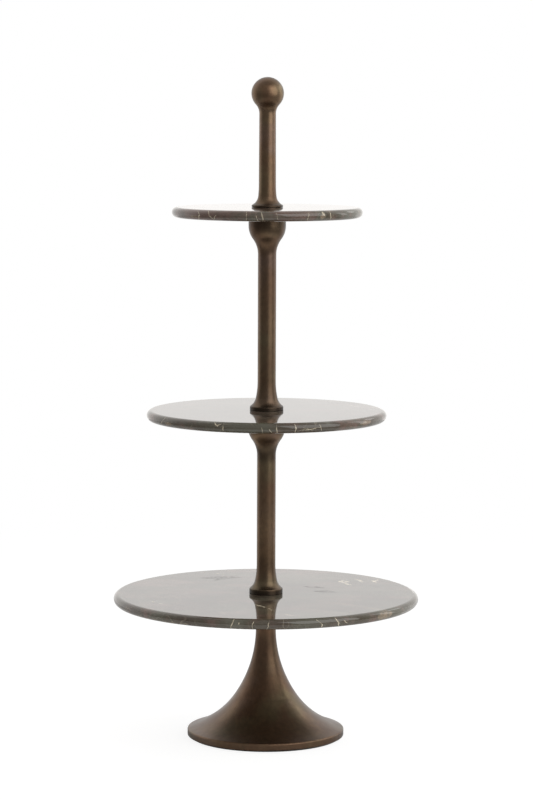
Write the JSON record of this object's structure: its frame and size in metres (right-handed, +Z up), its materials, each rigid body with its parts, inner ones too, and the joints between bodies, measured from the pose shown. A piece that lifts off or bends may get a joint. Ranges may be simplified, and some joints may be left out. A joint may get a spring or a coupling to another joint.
{
  "type": "tiered cake stand",
  "caption": "Tall cake stand: round polished marble plates, largest at the bottom, clamped on a turned bronze-coloured stem with a trumpet foot and a ball handle.",
  "frame": {"origin": "centre of the felt pad's underside, where the stem's axis meets the surface that the stand rests on", "axes": "+Z up along the stem; the stand is round, so +X and +Y are any two horizontal directions at right angles"},
  "size_m": [0.3, 0.3, 0.649],
  "materials": {
    "antique_bronze": "satin dark antique bronze patina on cast aluminium",
    "marble": "polished dark brown-green marble with thin cream veins",
    "zinc_steel": "zinc-plated steel",
    "ballast_iron": "raw grey casting",
    "black_rubber": "matte",
    "felt": "pressed wool felt"
  },
  "bodies": {
    "base": {"felt_pad": "felt", "base_cover": "zinc_steel", "cover_screws": "zinc_steel", "base_weight": "ballast_iron", "base_casting": "antique_bronze", "base_bolt": "zinc_steel", "lock_washer": "zinc_steel", "bolt_washer": "zinc_steel", "lower_seat_washer": "black_rubber", "lower_plate": "marble"},
    "lower_ring": {"lower_gasket": "black_rubber"},
    "lower_section": {"lower_column": "antique_bronze", "middle_stud": "zinc_steel", "middle_seat_washer": "black_rubber", "middle_plate": "marble"},
    "middle_ring": {"middle_gasket": "black_rubber"},
    "upper_section": {"upper_column": "antique_bronze", "upper_stud": "zinc_steel", "upper_seat_washer": "black_rubber", "upper_plate": "marble"},
    "upper_ring": {"upper_gasket": "black_rubber"},
    "handle_section": {"handle": "antique_bronze"}
  },
  "joints": [
    {"name": "lower_column_lift", "type": "slide", "parent": "base", "child": "lower_ring", "axis": [0, 0, 1], "range_m": [0, 0.01126]},
    {"name": "lower_column_unscrew", "type": "hinge", "parent": "lower_ring", "child": "lower_section", "pos_m": [0, 0, 0.1436], "axis": [0, 0, 1], "range_deg": [0, 3240]},
    {"name": "upper_column_lift", "type": "slide", "parent": "lower_section", "child": "middle_ring", "axis": [0, 0, 1], "range_m": [0, 0.01126]},
    {"name": "upper_column_unscrew", "type": "hinge", "parent": "middle_ring", "child": "upper_section", "pos_m": [0, 0, 0.325], "axis": [0, 0, 1], "range_deg": [0, 3240]},
    {"name": "handle_lift", "type": "slide", "parent": "upper_section", "child": "upper_ring", "axis": [0, 0, 1], "range_m": [0, 0.01126]},
    {"name": "handle_unscrew", "type": "hinge", "parent": "upper_ring", "child": "handle_section", "pos_m": [0, 0, 0.5234], "axis": [0, 0, 1], "range_deg": [0, 3240]}
  ],
  "couplings": [
    {"joint": "lower_column_lift", "follows": "lower_column_unscrew", "m_per_rad": 0.00019894},
    {"joint": "upper_column_lift", "follows": "upper_column_unscrew", "m_per_rad": 0.00019894},
    {"joint": "handle_lift", "follows": "handle_unscrew", "m_per_rad": 0.00019894}
  ]
}
